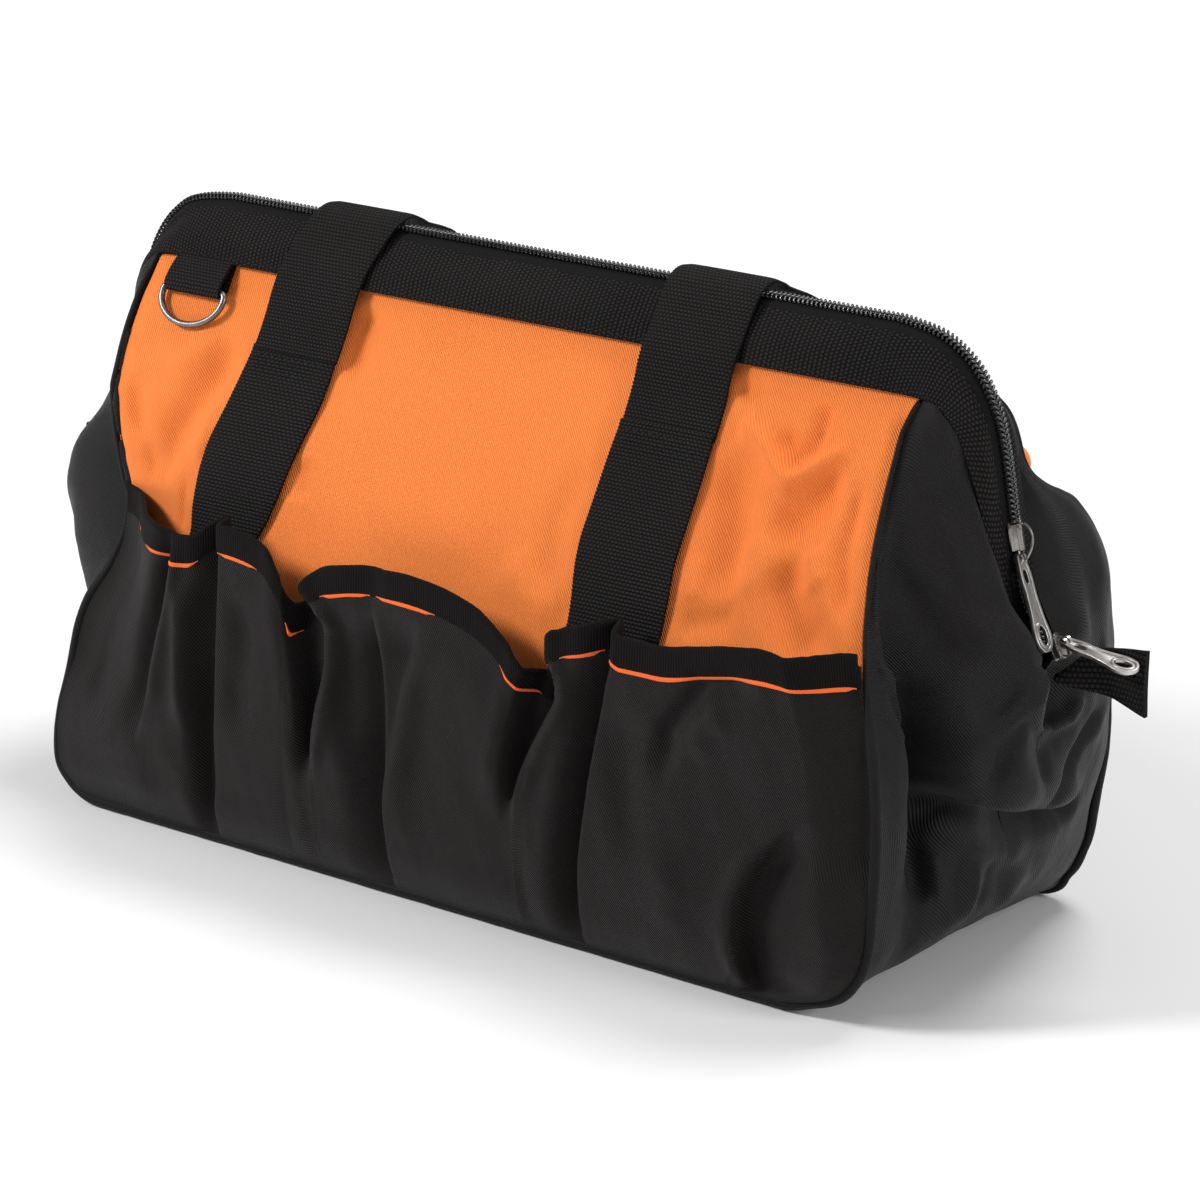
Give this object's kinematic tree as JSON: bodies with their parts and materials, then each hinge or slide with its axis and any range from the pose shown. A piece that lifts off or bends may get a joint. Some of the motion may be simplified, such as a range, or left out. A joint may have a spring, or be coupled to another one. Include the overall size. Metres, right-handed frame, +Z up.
{
  "type": "wide-mouth tool bag",
  "caption": "Soft wide-mouth tool bag with outside pockets on both long sides, an arched zip over the top and ends, webbing carry handles and D-rings.",
  "frame": {"origin": "centre of the base, on the surface that the bag stands on", "axes": "+X to the right along the bag's length, +Y from the front to the back, +Z up"},
  "size_m": [0.5271, 0.228, 0.2544],
  "materials": {
    "orange_cloth": "tightly woven orange synthetic cloth, backed, slight sheen",
    "black_cloth": "heavy black woven synthetic cloth, matt",
    "black_webbing": "black woven webbing with fine cross ribs",
    "black_tape": "black ribbed binding and zip tape",
    "black_coil": "black nylon zip coil, glossy",
    "grey_metal": "nickel-plated metal, satin",
    "board": "black stiffener board"
  },
  "bodies": {
    "root": {"base_panel": "black_cloth", "base_board": "board", "gusset_lower_right": "black_cloth", "gusset_lower_left": "black_cloth", "front_lower_panel": "black_cloth", "back_lower_panel": "black_cloth", "front_piping": "black_cloth", "back_piping": "black_cloth", "front_pocket_1": "black_cloth", "front_pocket_2": "black_cloth", "front_pocket_3": "black_cloth", "front_pocket_4": "black_cloth", "back_pocket_1": "black_cloth", "back_pocket_2": "black_cloth", "back_pocket_3": "black_cloth", "back_pocket_4": "black_cloth", "front_pocket_binding": "black_tape", "back_pocket_binding": "black_tape", "front_pocket_trim": "orange_cloth", "back_pocket_trim": "orange_cloth", "zip_tail_right": "black_tape", "zip_tail_left": "black_tape"},
    "front_wall": {"front_upper_panel": "orange_cloth", "front_top_band": "black_tape", "front_frame_wire": "grey_metal", "front_zip_tape": "black_tape", "front_zip_coil": "black_coil", "gusset_upper_front_right": "black_cloth", "gusset_upper_front_left": "black_cloth", "front_strap_left": "black_webbing", "front_strap_right": "black_webbing", "front_ring_loop": "black_webbing"},
    "back_wall": {"back_upper_panel": "orange_cloth", "back_top_band": "black_tape", "back_frame_wire": "grey_metal", "back_zip_tape": "black_tape", "back_zip_coil": "black_coil", "gusset_upper_back_right": "black_cloth", "gusset_upper_back_left": "black_cloth", "back_strap_left": "black_webbing", "back_strap_right": "black_webbing", "back_ring_loop": "black_webbing"},
    "front_handle": {"front_handle": "black_webbing"},
    "back_handle": {"back_handle": "black_webbing"},
    "front_d_ring": {"front_d_ring": "grey_metal"},
    "back_d_ring": {"back_d_ring": "grey_metal"},
    "slider_upper": {"slider_upper": "grey_metal"},
    "pull_upper": {"pull_upper": "grey_metal"},
    "slider_lower": {"slider_lower": "grey_metal"},
    "pull_lower": {"pull_lower": "grey_metal"}
  },
  "joints": [
    {"name": "front_mouth", "type": "hinge", "parent": "root", "child": "front_wall", "pos_m": [0, -0.077, 0.112], "axis": [1, 0, 0], "range_deg": [0, 28], "deforming": ["front_handle"]},
    {"name": "back_mouth", "type": "hinge", "parent": "root", "child": "back_wall", "pos_m": [0, 0.077, 0.112], "axis": [1, 0, 0], "range_deg": [-28, 0]},
    {"name": "front_handle_lift", "type": "hinge", "parent": "front_wall", "child": "front_handle", "pos_m": [0, -0.0042, 0.2478], "axis": [1, 0, 0], "range_deg": [0, 130]},
    {"name": "back_handle_lift", "type": "hinge", "parent": "back_wall", "child": "back_handle", "pos_m": [0, 0.031, 0.1996], "axis": [1, 0, 0], "range_deg": [0, 130]},
    {"name": "front_d_ring_swing", "type": "hinge", "parent": "front_wall", "child": "front_d_ring", "pos_m": [-0.167, -0.02485, 0.2097], "axis": [1, 0, 0], "range_deg": [-110, 0]},
    {"name": "back_d_ring_swing", "type": "hinge", "parent": "back_wall", "child": "back_d_ring", "pos_m": [0.167, 0.02485, 0.2097], "axis": [1, 0, 0], "range_deg": [0, 110]},
    {"name": "slider_upper_slide", "type": "slide", "parent": "front_wall", "child": "slider_upper", "axis": [-0.1997, 0, 0.9799], "range_m": [-0.006, 0.03]},
    {"name": "pull_upper_swing", "type": "hinge", "parent": "slider_upper", "child": "pull_upper", "pos_m": [0.21723, 0, 0.16756], "axis": [0.0806, 0.9788, -0.1885], "range_deg": [-110, 0]},
    {"name": "slider_lower_slide", "type": "slide", "parent": "root", "child": "slider_lower", "axis": [-0.4879, 0, 0.8729], "range_m": [0, 0.003]},
    {"name": "pull_lower_swing", "type": "hinge", "parent": "slider_lower", "child": "pull_lower", "pos_m": [0.23414, 0.0042, 0.12883], "axis": [0, 1, 0], "range_deg": [-90, 0]}
  ],
  "couplings": [
    {"joint": "back_mouth", "follows": "front_mouth", "ratio": -1},
    {"joint": "back_handle_lift", "follows": "front_handle_lift", "ratio": 1}
  ]
}
